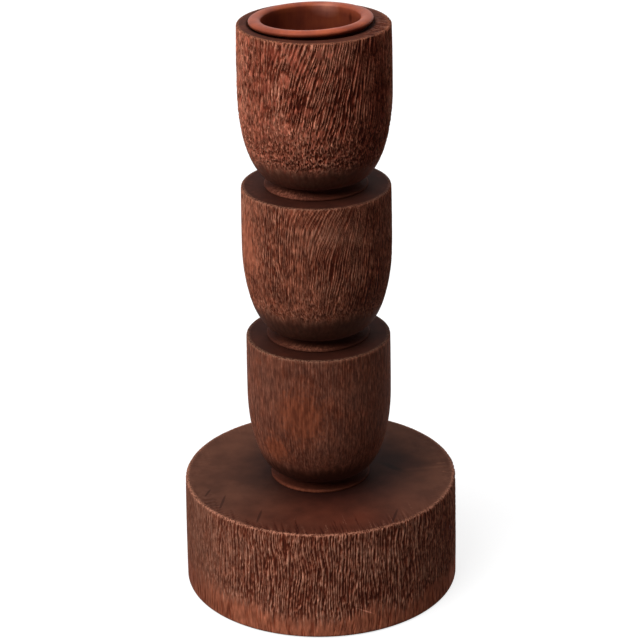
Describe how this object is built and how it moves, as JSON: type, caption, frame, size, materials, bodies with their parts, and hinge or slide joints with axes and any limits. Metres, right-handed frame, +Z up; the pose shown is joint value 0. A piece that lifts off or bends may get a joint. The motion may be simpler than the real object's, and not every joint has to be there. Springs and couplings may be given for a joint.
{
  "type": "candle stand",
  "caption": "Turned wooden candle stand: a drum base under a stem of stacked round-bottomed cups, with a loose candle cup hanging by its rolled lip in the top one.",
  "frame": {"origin": "middle of the pad's underside, on the surface that the stand rests on", "axes": "+Z up along the stem; -X is the side towards which the candle cup's bore is off centre"},
  "size_m": [0.1176, 0.1176, 0.2511],
  "materials": {
    "carved_wood": "deeply wire-brushed, stained reddish brown, matt on the sides and smooth on the tops",
    "smooth_wood": "turned smooth, stained orange brown, satin",
    "dowel_wood": "plain beech, unstained",
    "cork": "pressed cork granules, matt"
  },
  "bodies": {
    "stand": {"cork_pad": "cork", "base": "carved_wood", "lower_cup": "carved_wood", "middle_cup": "carved_wood", "top_cup": "carved_wood", "lower_dowel": "dowel_wood", "middle_dowel": "dowel_wood", "top_dowel": "dowel_wood"},
    "candle_cup": {"candle_cup": "smooth_wood"}
  },
  "joints": [
    {"name": "candle_cup_lift", "type": "slide", "parent": "stand", "child": "candle_cup", "axis": [0, 0, 1], "range_m": [0, 0.03]}
  ]
}
